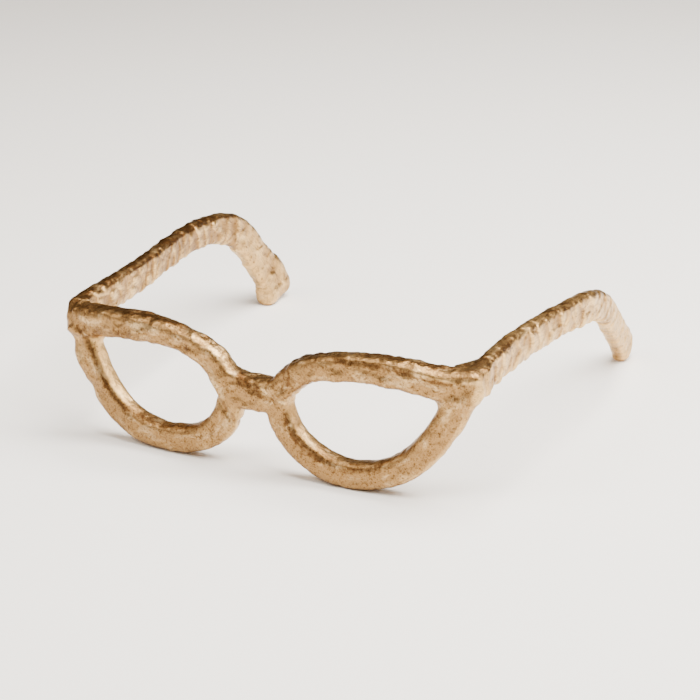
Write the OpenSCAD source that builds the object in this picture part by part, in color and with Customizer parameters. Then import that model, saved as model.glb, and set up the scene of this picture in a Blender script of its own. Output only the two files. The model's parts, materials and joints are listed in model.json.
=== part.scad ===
// Tabletop sculpture of a pair of cat-eye spectacles, cast in pieces that are doweled and welded.
// X runs across the face, +Y back along the temples, +Z up. The origin lies on the table under the middle.

/* [Front] */
// Width across the two outer corners, from centre line to centre line
front_w = 280; // [265:1:300]
// Space across the nose between the two rings' centre lines
nose_gap = 33; // [31:0.5:38]
// Height of a ring from its lowest to its highest centre line
ring_h = 70; // [66:0.5:76]
// Width of the brow bars, seen from the front
brow_w = 18.4; // [17:0.1:20]
// Depth of the brow bars from front to back
brow_d = 15.6; // [15:0.1:17]
// Width of the lower rims, seen from the front
rim_w = 17.8; // [16:0.1:19]
// Depth of the lower rims from front to back
rim_d = 14.2; // [13:0.1:14.6]
// Radius along the edges of every casting
edge_r = 4.6; // [3.5:0.1:5.2]
// How far the outer corners stand behind the nose
corner_back = 8; // [5:0.5:10]
// Distance from the middle at which the front stands furthest forward
bow_peak = 48; // [42:1:54]

/* [Bridge] */
// Height of the bridge bar over the nose
bridge_h = 21.5; // [18:0.5:23]
// Depth of the bridge bar from front to back
bridge_d = 18; // [16:0.5:20]
// Height of the bridge bar's centre above the table
bridge_z = 49.5; // [47:0.5:52]
// Slant of the joint between a lower rim and the bridge
nose_slant = 42; // [0:1:46]

/* [Temples] */
// Length of a temple in plan, from the brow bar to the tip's centre
temple_l = 264; // [230:1:290]
// Thickness of a temple across X
temple_t = 11.6; // [10.6:0.1:12.6]
// Height of a temple at the corner
temple_h = 22.4; // [20:0.1:23]
// Height of a temple at its tip, square to its line
tip_h = 18.4; // [16:0.1:20]
// How far each temple bows outwards on its way back
temple_splay = 8; // [4:0.5:12]
// Height of a temple's centre line above the brow bar's at the corner
temple_rise = 0; // [-1:0.1:1]

/* [Joints] */
// Diameter of the hidden steel dowels
dowel_d = 5; // [4:0.1:6]
// Length of a dowel
dowel_l = 15; // [12:0.5:16]
// Radial clearance of a dowel in its hole
dowel_fit = 0.05; // [0.02:0.01:0.1]
// Width of a groove weld, over both castings
weld_w = 4; // [3:0.5:5]
// Depth of a groove weld
weld_d = 1.6; // [1.2:0.1:2]
// How far the face of a groove weld lies below the castings
weld_sink = 0.4; // [0.2:0.1:0.6]
// Leg of the fillet welds at the corners
fillet_leg = 2.4; // [1.8:0.1:2.8]

/* [Feet] */
// Diameter of the pads
pad_d = 8; // [6:0.5:9]
// Thickness of the pads
pad_t = 1; // [0.8:0.1:1.4]
// How much is filed off a casting underneath, so that it stands level
filed = 1.4; // [1.2:0.1:1.8]

/* [Hidden] */

// The two sides were shaped by hand, so each has outlines of its own.
LEFT = 0;
RIGHT = 1;

// Brow bars from the nose to the corner: shares of the ring's width, of its height and of brow_w
BROW = [
    [[0.035, 0.64, 1.01], [0.165, 0.905, 0.88], [0.38, 1.015, 0.88], [0.64, 1.015, 1.02],
        [0.87, 0.965, 1.04], [1.025, 0.965, 0.96]],
    [[0, 0.64, 1.01], [0.145, 0.9, 0.92], [0.37, 1.01, 0.9], [0.62, 1.02, 1.02],
        [0.86, 0.97, 1.06], [1.065, 0.985, 0.98]]
];
// Lower rims from the corner round the bottom to the nose: the same shares, and the last of rim_w
RIM = [
    [[0.935, 0.98, 1.25], [0.92, 0.77, 1.03], [0.79, 0.33, 1.02], [0.6, 0.065, 1.02], [0.37, 0, 1],
        [0.16, 0.1, 1.04], [0.045, 0.32, 1.03], [0.035, 0.64, 1.04]],
    [[0.955, 0.98, 1.3], [0.938, 0.775, 1.14], [0.8, 0.35, 1.03], [0.61, 0.08, 1.01], [0.385, 0, 1.03],
        [0.19, 0.09, 1], [0.045, 0.31, 1], [0, 0.64, 1.04]]
];
// Temples from the brow bar to the tip: shares of temple_l, of the height at the corner, of temple_splay and
// of the local height
TEMPLE = [
    [[0, 0.985, 0, 0.9], [0.17, 0.985, 0, 1], [0.33, 0.995, 0.25, 1], [0.48, 1.01, 0.72, 1],
        [0.62, 1.01, 1, 1], [0.73, 0.965, 0.9, 1.1], [0.81, 0.87, 0.7, 1.22], [0.871, 0.72, 0.5, 1.27],
        [0.926, 0.52, 0.3, 1.35], [0.984, 0.31, 0, 1.56], [1.003, 0.13, -0.2, 1.68]],
    [[0, 0.985, 0, 0.9], [0.17, 0.995, 0, 1], [0.33, 0.99, 0.25, 1], [0.48, 0.975, 0.72, 1],
        [0.62, 0.935, 1, 1], [0.7, 0.865, 0.9, 1], [0.787, 0.725, 0.7, 1], [0.86, 0.55, 0.45, 1],
        [0.926, 0.38, 0.25, 1.02], [0.984, 0.24, 0.1, 1.03], [1.025, 0.1, 0, 1.06]]
];

// Where the joints and the rims' pads lie, counted in points along the outlines
BROW_START = 0.48;
BROW_CORNER = 4.4;
RIM_END = 6.3;
NOSE = 7;
RIM_FOOT = 4;
TIP_BEND = 6;
// The last stretch of an outline before its rounded end, in points
END_STEP = 0.4;
// How often the filing depth a temple's tip is let down, since it meets the table at an angle
TIP_FILED = 1.8;
// The bar over the nose: where it ends in the forks, and how much taller, higher and less deep it is there
BAR_END = 0.2;
BAR_SPREAD = 1.12;
BAR_LIFT = 3;
BAR_INSET = 1;
// Room round a temple's weld on its seat
SEAT_ROOM = 0.2;
// How far the slant of a joint reaches along the outline, in points
SLANT_REACH = 1.1;
// How deep a temple's seat is cut into the back of the brow bar
SEAT_DEEP = 0.3;
// Height of a temple's dowel above its centre line, as a share of the temple's height
DOWEL_HIGH = 0.2;

// Steps in the round of an edge, rings between two points of an outline, and angles of a rounded end
EDGE_STEPS = 3;
SPAN_RINGS = 4;
END_ANGLES = [0, 30, 55, 75];
BAR_RINGS = 8;
FINE = 64;
// How thick a fillet weld still is where it runs out
WELD_EDGE = 0.15;
// The smallest round of an edge, and the least that stays flat beside one
LEAST_ROUND = 0.3;
LEAST_FLAT = 0.1;
// Half the stretch of an outline over which its heading is taken, in points
STEP = 0.02;
// Distances that only keep a cut or a buried end clear of a face
TINY = 0.02;
CLEAR = 40;
FAR = 400;

corner_x = front_w / 2;
ring_w = corner_x - nose_gap / 2;
rim_low = pad_t - filed + rim_w / 2;
temple_z = rim_low + ring_h + temple_rise;
seat_y = front_y(corner_x - temple_t / 2 - fillet_leg) + brow_d / 2 - SEAT_DEEP;
// The whole is moved so that the origin lies under the middle of its depth.
middle_y = (front_y(bow_peak) - brow_d / 2 + max(rear_y(LEFT), rear_y(RIGHT))) / 2;

function front_y(x) = corner_back * x * (x - 2 * bow_peak) / (corner_x * (corner_x - 2 * bow_peak));
function unit(v) = v / norm(v);
function lowest(points) =
    let (z = min([for (p = points) p[2]]))
    [for (p = points) if (p[2] <= z + TINY) p][0];
function xyz(p) = [p[0], p[1], p[2]];
function mix(a, b, share) = a + (b - a) * share;

// A smooth curve through points, where t counts the points
function curve_at(points, t) =
    let (last = len(points) - 1,
        i = max(0, min(floor(t), last - 1)),
        f = t - i,
        b = points[i],
        c = points[i + 1],
        a = i > 0 ? points[i - 1] : 2 * b - c,
        d = i < last - 1 ? points[i + 2] : 2 * c - b)
    b + 0.5 * f * ((c - a) + f * ((2 * a - 5 * b + 4 * c - d) + f * (3 * (b - c) + d - a)));

// Places on the outlines, as [x, y, z, half the width]. Each front outline borrows one point of the
// other, so that both run on smoothly into the bridge.
function front_point(outline, t, width) =
    let (p = curve_at(outline, t), x = nose_gap / 2 + p[0] * ring_w)
    [x, front_y(x), rim_low + p[1] * ring_h, p[2] * width / 2];
function brow_point(side, t) = front_point(concat([RIM[side][NOSE - 1]], BROW[side]), t + 1, brow_w);
function rim_point(side, t) = front_point(concat(RIM[side], [BROW[side][1]]), t, rim_w);
function temple_path(side, t) =
    let (p = curve_at(TEMPLE[side], t), share = t / (len(TEMPLE[side]) - 1))
    [
        corner_x + p[2] * temple_splay,
        seat_y + p[0] * temple_l,
        p[1] * temple_z,
        p[3] * mix(temple_h, tip_h, share) / 2
    ];

// Frames along the outlines: [place, heading, across, through, half the width]
function frame_of(here, along, through) = [xyz(here), along, cross(along, through), through, here[3]];
function front_frame(before, here, after) =
    let (along = unit(xyz(after) - xyz(before)),
        slope = (front_y(here[0] + 1) - front_y(here[0] - 1)) / 2,
        normal = [-slope, 1, 0])
    frame_of(here, along, unit(normal - along * (normal * along)));
function temple_frame_of(before, here, after) =
    let (along = unit(xyz(after) - xyz(before)))
    frame_of(here, along, unit([1, 0, 0] - along * along[0]));

function brow_frame(side, t) =
    front_frame(brow_point(side, t - STEP), brow_point(side, t), brow_point(side, t + STEP));
function rim_frame(side, t) =
    front_frame(rim_point(side, t - STEP), rim_point(side, t), rim_point(side, t + STEP));

// A rounded rectangle about the origin, as [across, through]
function rounded(half_a, half_b, r) = [
    for (corner = [[1, 1, 0], [-1, 1, 90], [-1, -1, 180], [1, -1, 270]])
        for (step = [0:EDGE_STEPS])
            let (angle = corner[2] + step * 90 / EDGE_STEPS)
            [corner[0] * (half_a - r) + r * cos(angle), corner[1] * (half_b - r) + r * sin(angle)]
];

// One ring of points in a frame. It grows by grow, or shrinks, and slant tips it along the heading.
function ring_of(frame, half_b, grow = 0, slant = 0) =
    let (a = frame[4] + grow,
        b = half_b + grow,
        r = max(LEAST_ROUND, min([edge_r + grow, a - LEAST_FLAT, b - LEAST_FLAT])))
    [for (q = rounded(a, b, r)) frame[0] + frame[2] * q[0] + frame[3] * q[1] + frame[1] * (q[0] * slant)];

function moved(frame, distance) = [frame[0] + frame[1] * distance, frame[1], frame[2], frame[3], frame[4]];

// Rings that round off the end of an outline
function end_rings(frame, half_b) = [
    for (angle = END_ANGLES)
        ring_of(moved(frame, edge_r * (sin(angle) - 1)), half_b, edge_r * (cos(angle) - 1))
];

// The joints stand at a slant, which fades out along the bars.
function slant_at(t) = -tan(nose_slant) * max(0, 1 - abs(t - RIM_END) / SLANT_REACH);
function rim_slant(side, t) =
    slant_at(t) + corner_slant(side) * max(0, 1 - max(0, t - under_brow(side)) / SLANT_REACH);
function brow_ring(side, t, grow = 0) =
    ring_of(brow_frame(side, t), brow_half_d(t), grow, slant_at(NOSE + t));
function rim_ring(side, t, grow = 0) = ring_of(rim_frame(side, t), rim_half_d(t), grow, rim_slant(side, t));

// The depth changes from the rim's to the brow's round the nose.
function rim_half_d(t) = mix(rim_d, (rim_d + brow_d) / 2, max(0, t - NOSE + 1)) / 2;
function brow_half_d(t) = mix((rim_d + brow_d) / 2, brow_d, min(1, t)) / 2;

// Half the width of a groove weld, in points along the outline
function rim_weld_step(side) =
    let (reach = xyz(rim_point(side, RIM_END + 0.5)) - xyz(rim_point(side, RIM_END - 0.5)))
    weld_w / 2 / norm(reach);
function brow_weld_step(side) =
    let (reach = xyz(brow_point(side, BROW_START + 0.25)) - xyz(brow_point(side, BROW_START - 0.25)))
    weld_w / 4 / norm(reach);

// Values of t from first to last in even steps that are no longer than a ring's spacing
function even_steps(first, last) =
    let (n = ceil((last - first) * SPAN_RINGS))
    [for (i = [0:n]) mix(first, last, i / n)];

// Two triangles between one ring and the next
function panel(i, j, rings, count) =
    let (k = (i + 1) % rings, l = (j + 1) % count)
    [[i * count + j, i * count + l, k * count + l], [i * count + j, k * count + l, k * count + j]];

// A solid through rings, flat at both ends
module sweep(rings) {
    count = len(rings[0]);
    last = len(rings) - 1;
    polyhedron(
        points = [for (ring = rings) each ring],
        faces = concat(
            [[for (j = [count - 1:-1:0]) j]],
            [for (i = [0:last - 1]) for (j = [0:count - 1]) each panel(i, j, last + 1, count)],
            [[for (j = [0:count - 1]) last * count + j]]
        )
    );
}

// A closed band whose section runs through four rings
module band(rings) {
    count = len(rings[0]);
    polyhedron(
        points = [for (ring = rings) each ring],
        faces = [
            for (i = [0:len(rings) - 1])
                for (j = [0:count - 1])
                    for (face = panel(i, j, len(rings), count)) [face[2], face[1], face[0]]
        ]
    );
}

// Puts a piece that is drawn for the right side in its place.
module placed(side) {
    translate([0, -middle_y, 0])
        mirror([side == LEFT ? 1 : 0, 0, 0])
            children();
}

// A round bar or hole along the heading of a frame, with its middle at the frame's place
module bar_in(frame, length, d) {
    along = frame[1];
    translate(frame[0])
        rotate([0, acos(along[2]), atan2(along[1], along[0])])
            cylinder(h = length, d = d, center = true, $fn = FINE);
}

module dowel_in(frame) {
    bar_in(frame, dowel_l, dowel_d);
}

module hole_in(frame) {
    bar_in(frame, dowel_l, dowel_d + 2 * dowel_fit);
}

// Everything under the table-side plane at which the castings are filed level
module filings() {
    translate([-FAR, -FAR, pad_t - CLEAR])
        cube([2 * FAR, 2 * FAR, CLEAR]);
}

// How low the tip of a temple reaches before it is let down
function tip_low(side) =
    let (last = len(TEMPLE[side]) - 1, tip = temple_path(side, last))
    min([
        for (ring = end_rings(temple_frame_of(temple_path(side, last - STEP), tip, tip), temple_t / 2))
            for (p = ring) p[2]
    ]);
// The last stretch is let down so that the tip has enough to file off.
function temple_point(side, t) =
    let (bend = max(0, (t - TIP_BEND) / (len(TEMPLE[side]) - 1 - TIP_BEND)))
    temple_path(side, t) + [0, 0, (pad_t - TIP_FILED * filed - tip_low(side)) * bend * bend, 0];
function temple_frame(side, t) =
    let (last = len(TEMPLE[side]) - 1, here = temple_point(side, t))
    t == 0 ? frame_of(here, [0, 1, 0], [1, 0, 0])
           : temple_frame_of(temple_point(side, t - STEP), here, temple_point(side, min(last, t + STEP)));
function temple_ring(side, t, grow = 0) = ring_of(temple_frame(side, t), temple_t / 2, grow);
function tip_rings(side) = end_rings(temple_frame(side, len(TEMPLE[side]) - 1), temple_t / 2);
function rear_y(side) = max([for (ring = tip_rings(side)) for (p = ring) p[1]]);

// Where a rim's centre line meets the underside of the brow bar, in points along the rim
function brow_underside(side, t) = let (brow = brow_point(side, t)) [brow[0], brow[1], brow[2] - brow[3]];
function under_brow(side) =
    let (top = rim_point(side, 0)[2], next = rim_point(side, 1)[2])
    (top - brow_underside(side, BROW_CORNER)[2]) / (top - next);
function rim_span(side) = norm(xyz(rim_point(side, 1)) - xyz(rim_point(side, 0)));
function corner_frame(side) = rim_frame(side, under_brow(side));
// How much the brow's underside leans against the rim's end
function corner_slant(side) =
    let (rim = corner_frame(side),
        lean = brow_underside(side, BROW_CORNER + STEP) - brow_underside(side, BROW_CORNER - STEP))
    (lean * rim[1]) / (lean * rim[2]);

// Where the dowel of a temple lies: above the corner dowel, so that the two holes stay apart
function temple_dowel_frame(side) =
    let (frame = temple_frame(side, 0))
    [frame[0] + [0, 0, DOWEL_HIGH * temple_h], frame[1], frame[2], frame[3], frame[4]];

// The uncut castings
module brow_bar(side) {
    end = len(BROW[side]) - 1;
    sweep(concat(
        [brow_ring(side, BROW_START, -weld_d)],
        [for (t = even_steps(BROW_START + brow_weld_step(side), end - END_STEP)) brow_ring(side, t)],
        end_rings(brow_frame(side, end), brow_half_d(end))
    ));
}

// A rim has rings where its corner weld has them, so that the weld's leg is even all round.
module rim_bar(side) {
    top = under_brow(side);
    span = rim_span(side);
    steps = even_steps(top + fillet_leg / span, RIM_END - rim_weld_step(side));
    sweep(concat(
        [for (t = concat([top - edge_r / span, top], steps)) rim_ring(side, t)],
        [rim_ring(side, RIM_END, -weld_d)]
    ));
}

module temple_bar(side) {
    end = len(TEMPLE[side]) - 1;
    sweep(concat(
        [for (t = even_steps(0, end - END_STEP)) temple_ring(side, t)],
        tip_rings(side)
    ));
}

// The fork of the bridge: the stretch of a ring between the lower rim and the brow bar
module bridge_fork(side) {
    sweep(concat(
        [rim_ring(side, RIM_END, -weld_d)],
        [for (t = even_steps(RIM_END + rim_weld_step(side), NOSE)) rim_ring(side, t)],
        [brow_ring(side, BROW_START - brow_weld_step(side)), brow_ring(side, BROW_START, -weld_d)]
    ));
}

// The bar over the nose, which ends inside the two forks
module bridge_bar() {
    left = rim_point(LEFT, NOSE - BAR_END)[0];
    right = rim_point(RIGHT, NOSE - BAR_END)[0];
    sweep([
        for (i = [-BAR_RINGS:BAR_RINGS])
            let (share = i / BAR_RINGS,
                x = share * (share < 0 ? left : right),
                z = bridge_z + BAR_LIFT * share * share,
                half_h = mix(bridge_h, BAR_SPREAD * bridge_h, share * share) / 2,
                half_d = mix(bridge_d, rim_d - BAR_INSET, share * share) / 2)
            ring_of(frame_of([x, front_y(abs(x)), z, half_h], [1, 0, 0], [0, 1, 0]), half_d)
    ]);
}

// The space that a temple and its weld take at the corner
module temple_seat() {
    half = temple_t / 2 + fillet_leg + SEAT_ROOM;
    translate([corner_x - half, seat_y, temple_z - temple_h / 2 - fillet_leg - SEAT_ROOM])
        cube([2 * half, CLEAR, CLEAR]);
}

// The pieces, each drawn for the right side and put in its place
module brow(side) {
    color("tan")
        placed(side)
            difference() {
                brow_bar(side);
                temple_seat();
                hole_in(brow_frame(side, BROW_START));
                hole_in(corner_frame(side));
                hole_in(temple_dowel_frame(side));
            }
}

module lower_rim(side) {
    color("burlywood")
        placed(side)
            difference() {
                rim_bar(side);
                brow_bar(side);
                temple_seat();
                filings();
                hole_in(rim_frame(side, RIM_END));
                hole_in(corner_frame(side));
            }
}

module temple(side) {
    color("wheat")
        placed(side)
            difference() {
                temple_bar(side);
                filings();
                hole_in(temple_dowel_frame(side));
            }
}

module bridge() {
    color("burlywood")
        difference() {
            union() {
                for (side = [LEFT, RIGHT])
                    placed(side) bridge_fork(side);
                placed(RIGHT) bridge_bar();
            }
            for (side = [LEFT, RIGHT])
                placed(side) {
                    hole_in(brow_frame(side, BROW_START));
                    hole_in(rim_frame(side, RIM_END));
                }
        }
}

module brow_dowel(side) {
    color("silver") placed(side) dowel_in(brow_frame(side, BROW_START));
}

module rim_dowel(side) {
    color("silver") placed(side) dowel_in(rim_frame(side, RIM_END));
}

module corner_dowel(side) {
    color("silver") placed(side) dowel_in(corner_frame(side));
}

module temple_dowel(side) {
    color("silver") placed(side) dowel_in(temple_dowel_frame(side));
}

// A groove weld fills the groove round a butt joint, and its face lies a little below the castings.
module brow_weld(side) {
    step = brow_weld_step(side);
    color("peru")
        placed(side)
            band([
                brow_ring(side, BROW_START - step), brow_ring(side, BROW_START, -weld_d),
                brow_ring(side, BROW_START + step), brow_ring(side, BROW_START, -weld_sink)
            ]);
}

module rim_weld(side) {
    step = rim_weld_step(side);
    color("peru")
        placed(side)
            band([
                rim_ring(side, RIM_END - step), rim_ring(side, RIM_END, -weld_d),
                rim_ring(side, RIM_END + step), rim_ring(side, RIM_END, -weld_sink)
            ]);
}

// A fillet weld runs round the end of a lower rim, under the brow bar.
module corner_weld(side) {
    top = under_brow(side);
    span = rim_span(side);
    color("peru")
        placed(side)
            difference() {
                sweep([
                    rim_ring(side, top - edge_r / span, (brow_d - rim_d) / 2),
                    rim_ring(side, top, fillet_leg),
                    rim_ring(side, top + fillet_leg / span, WELD_EDGE)
                ]);
                rim_bar(side);
                brow_bar(side);
                temple_seat();
            }
}

// A fillet weld runs round the front end of a temple, on its seat.
module temple_weld(side) {
    span = norm(xyz(temple_point(side, 1)) - xyz(temple_point(side, 0)));
    color("peru")
        placed(side)
            difference() {
                sweep([temple_ring(side, 0, fillet_leg), temple_ring(side, fillet_leg / span, WELD_EDGE)]);
                temple_bar(side);
            }
}

module pad_at(x, y) {
    color("dimgray")
        translate([x, y, 0])
            cylinder(h = pad_t, d = pad_d, $fn = FINE);
}

module rim_pad(side) {
    foot = rim_point(side, RIM_FOOT);
    placed(side) pad_at(foot[0], foot[1]);
}

module tip_pad(side) {
    foot = lowest([for (ring = tip_rings(side)) each ring]);
    placed(side) pad_at(temple_point(side, len(TEMPLE[side]) - 1)[0], foot[1]);
}

bridge();
brow(LEFT);  // brow_left
brow(RIGHT);  // brow_right
lower_rim(LEFT);  // lower_rim_left
lower_rim(RIGHT);  // lower_rim_right
temple(LEFT);  // temple_left
temple(RIGHT);  // temple_right
brow_dowel(LEFT);  // brow_dowel_left
brow_dowel(RIGHT);  // brow_dowel_right
rim_dowel(LEFT);  // rim_dowel_left
rim_dowel(RIGHT);  // rim_dowel_right
corner_dowel(LEFT);  // corner_dowel_left
corner_dowel(RIGHT);  // corner_dowel_right
temple_dowel(LEFT);  // temple_dowel_left
temple_dowel(RIGHT);  // temple_dowel_right
brow_weld(LEFT);  // brow_weld_left
brow_weld(RIGHT);  // brow_weld_right
rim_weld(LEFT);  // rim_weld_left
rim_weld(RIGHT);  // rim_weld_right
corner_weld(LEFT);  // corner_weld_left
corner_weld(RIGHT);  // corner_weld_right
temple_weld(LEFT);  // temple_weld_left
temple_weld(RIGHT);  // temple_weld_right
rim_pad(LEFT);  // rim_pad_left
rim_pad(RIGHT);  // rim_pad_right
tip_pad(LEFT);  // tip_pad_left
tip_pad(RIGHT);  // tip_pad_right
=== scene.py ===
import json
import math

import bpy
import numpy as np
from mathutils import Matrix, Vector, kdtree, noise

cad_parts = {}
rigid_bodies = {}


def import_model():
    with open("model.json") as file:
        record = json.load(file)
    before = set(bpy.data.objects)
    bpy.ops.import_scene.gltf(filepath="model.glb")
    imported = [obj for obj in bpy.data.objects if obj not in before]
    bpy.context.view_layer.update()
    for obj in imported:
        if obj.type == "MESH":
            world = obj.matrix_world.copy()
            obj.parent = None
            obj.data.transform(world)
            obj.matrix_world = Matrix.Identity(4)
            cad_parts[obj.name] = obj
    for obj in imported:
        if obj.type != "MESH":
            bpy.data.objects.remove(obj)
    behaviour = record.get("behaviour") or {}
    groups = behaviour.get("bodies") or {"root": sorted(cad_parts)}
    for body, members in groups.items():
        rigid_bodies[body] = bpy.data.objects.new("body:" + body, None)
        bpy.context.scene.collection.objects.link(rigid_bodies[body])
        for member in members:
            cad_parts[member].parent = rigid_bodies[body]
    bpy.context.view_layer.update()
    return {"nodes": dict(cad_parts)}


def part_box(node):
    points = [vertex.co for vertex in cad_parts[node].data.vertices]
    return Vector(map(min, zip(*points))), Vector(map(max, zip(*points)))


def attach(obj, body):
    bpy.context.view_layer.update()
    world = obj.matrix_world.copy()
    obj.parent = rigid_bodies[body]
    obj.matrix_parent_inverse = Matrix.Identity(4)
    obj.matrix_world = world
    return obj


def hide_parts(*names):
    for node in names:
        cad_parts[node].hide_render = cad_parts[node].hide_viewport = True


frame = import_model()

bl_info = {
    "name": "Eyeglasses sculpture",
    "version": (1, 0, 0),
    "blender": (4, 5, 0),
    "location": "View3D > Sidebar > Sculpture",
    "description": "Cat-eye spectacles cast in gold-finished metal, worked by hand",
    "category": "Add Mesh",
}

MM = 0.001
BODY = "root"
SIDES = ("left", "right")
CASTINGS = (
    "bridge", "brow_left", "brow_right", "lower_rim_left", "lower_rim_right",
    "temple_left", "temple_right",
)

# The bars' outlines, as the castings have them. Fronts: shares of a ring's width and height.
RING_H = 70.0
NOSE_GAP = 33.0
HALF_FRONT = 140.0
RIM_LOW = 8.5
CORNER_BACK = 8.0
BOW_PEAK = 48.0
RING_MIDDLE = (75.0, 48.0)
BRIDGE_HALF_LENGTH, BRIDGE_HALF_DEPTH, BRIDGE_Z = 18, 9.0, 50
BROW = {
    "left": [(0.035, 0.64), (0.165, 0.905), (0.38, 1.015), (0.64, 1.015), (0.87, 0.965), (1.025, 0.965)],
    "right": [(0, 0.64), (0.145, 0.9), (0.37, 1.01), (0.62, 1.02), (0.86, 0.97), (1.065, 0.985)],
}
RIM = {
    "left": [(0.935, 0.98), (0.92, 0.77), (0.79, 0.33), (0.6, 0.065), (0.37, 0), (0.16, 0.1),
             (0.045, 0.32), (0.035, 0.64)],
    "right": [(0.955, 0.98), (0.938, 0.775), (0.8, 0.35), (0.61, 0.08), (0.385, 0), (0.19, 0.09),
              (0.045, 0.31), (0, 0.64)],
}
# Temples: shares of the length, of the height at the corner and of the splay
TEMPLE_L = 264.0
TEMPLE_Z = 78.5
SPLAY = 8.0
TEMPLE = {
    "left": [(0, 0.985, 0), (0.17, 0.985, 0), (0.33, 0.995, 0.25), (0.48, 1.01, 0.72), (0.62, 1.01, 1),
             (0.73, 0.965, 0.9), (0.81, 0.87, 0.7), (0.871, 0.72, 0.5), (0.926, 0.52, 0.3),
             (0.984, 0.31, 0), (1.003, 0.13, -0.2)],
    "right": [(0, 0.985, 0), (0.17, 0.995, 0), (0.33, 0.99, 0.25), (0.48, 0.975, 0.72), (0.62, 0.935, 1),
              (0.7, 0.865, 0.9), (0.787, 0.725, 0.7), (0.86, 0.55, 0.45), (0.926, 0.38, 0.25),
              (0.984, 0.24, 0.1), (1.025, 0.1, 0)],
}

# What the tools, the wax and painted light left in places: bar, side, from and to along it as shares, angle
# round the bar at both ends and width in degrees, darkness, height in millimetres. Above 0 the darkness is
# dark wax, painted shadow and painted dark reflection; below 0 it lightens the gold as a painted highlight.
# Round a front bar the angle is 0 in front, 90 on its outer edge and -90 in the opening; round a temple it
# is 0 outside and 90 on top.
MARKS = (
    ("rim", "left", 0.03, 0.1, -5, -38, 16, 1.1, -0.7),
    ("rim", "left", 0.08, 0.42, -36, -46, 12, 1.0, -0.25),
    ("rim", "left", 0.04, 0.4, -80, -85, 26, -0.6, 0),
    ("rim", "left", 0.44, 0.72, -66, -78, 22, 0.75, 0),
    ("rim", "left", 0.3, 0.8, 72, 80, 22, 0.55, 0),
    ("rim", "left", 0.72, 0.84, -20, 10, 20, 0.7, 0),
    ("rim", "right", 0.44, 0.62, -50, -38, 20, 0.8, 0),
    ("rim", "right", 0.62, 0.92, -38, -32, 17, 1.0, -0.2),
    ("rim", "right", 0.1, 0.2, -20, -24, 22, 0.25, 0),
    ("rim", "right", 0.3, 0.8, 72, 80, 22, 0.6, 0),
    # A dark reflection painted along the right brow bar, then a pale line painted as a highlight on its
    # upper front edge
    ("brow", "right", 0.34, 0.88, 40, 20, 12, 0.95, -0.3),
    ("brow", "right", 0.7, 0.97, 46, 30, 8, -0.8, 0.35),
    ("brow", "right", 0.03, 0.14, 5, 0, 30, 0.9, -0.3),
    ("brow", "left", 0.5, 0.88, -28, -30, 20, 0.65, -0.1),
    ("brow", "left", 0.22, 0.34, -10, -30, 18, 0.6, -0.2),
    ("brow", "left", 0.22, 0.34, 58, 66, 16, -0.3, 0),
    ("brow", "left", 0.05, 0.24, 58, 58, 16, 0.42, -0.4),
    ("rim", "left", 0.06, 0.14, 10, 20, 30, -0.5, -0.5),
    ("temple", "left", 0.95, 1.03, 0, 0, 300, 0, 0.8),
    ("temple", "left", 0.985, 1.03, 0, 0, 300, 0, 1.4),
    ("temple", "left", 0.94, 1.03, 90, 90, 60, 0, 1.2),
    ("temple", "right", 0.94, 1.0, 0, 0, 300, 0, 0.8),
    ("rim", "left", 0.03, 0.04, 65, 65, 45, 0, 2.0),
    ("rim", "left", 0.065, 0.08, 65, 65, 45, 0.2, -2.0),
    ("rim", "left", 0.12, 0.18, 65, 65, 45, 0, 1.8),
    ("rim", "left", 0.24, 0.26, 65, 65, 45, 0.3, -2.0),
    ("rim", "left", 0.31, 0.37, 65, 65, 45, 0, 0.6),
    ("brow", "left", 0.93, 1.0, 70, 70, 60, 0.2, -0.7),
    ("bridge", "", 0.15, 1.0, 55, 5, 26, 0.95, -0.5),
)
# The webs between a brow bar's back and a temple's sides: -1 inside or 1 outside, and how far it reaches
# along each, in millimetres
WEBS = {"left": ((-1, 3.0, 4.0),), "right": ((-1, 9.0, 14.0), (1, 3.5, 18.0))}
# Where the right corner was filed off: from this x and y on, backwards by so much for each step outwards
CORNER_FACET = (0.1428, -0.1405, 0.9)
# How deep the crease at a joint was left, in millimetres; the painted shadow in it darkens with it
CREASES = {"rim_left": 1.1, "rim_right": 0.1, "brow_left": 0.1, "brow_right": 0.3}


class CastingSettings(bpy.types.PropertyGroup):
    """How the castings are shaped"""

    grain: bpy.props.FloatProperty(
        name="Grain", description="Distance between the points of the surface",
        default=0.75 * MM, min=0.4 * MM, max=2 * MM, unit="LENGTH", precision=5)
    softness: bpy.props.IntProperty(
        name="Softness", description="How often the raw surface is smoothed", default=14, min=0, max=60)
    corner_softness: bpy.props.IntProperty(
        name="Corner softness", description="How often the outer corners are smoothed once more",
        default=50, min=0, max=200)
    brow_dent: bpy.props.FloatProperty(
        name="Dents in the brow bars", description="Depth of the hammer marks in the brow bars",
        default=0.95 * MM, min=0, max=2 * MM, unit="LENGTH", precision=5)
    rim_dent: bpy.props.FloatProperty(
        name="Dents in the rims", description="Depth of the hammer marks in the lower rims",
        default=0.55 * MM, min=0, max=2 * MM, unit="LENGTH", precision=5)
    temple_dent: bpy.props.FloatProperty(
        name="Dents in the temples", description="Depth of the scallops in the temples",
        default=1.1 * MM, min=0, max=3 * MM, unit="LENGTH", precision=5)
    # This also sets how dark the painted shadow in the creases is
    crease: bpy.props.FloatProperty(
        name="Creases", description="How strong the creases at the dressed welds are",
        default=1, min=0, max=2)


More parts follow.
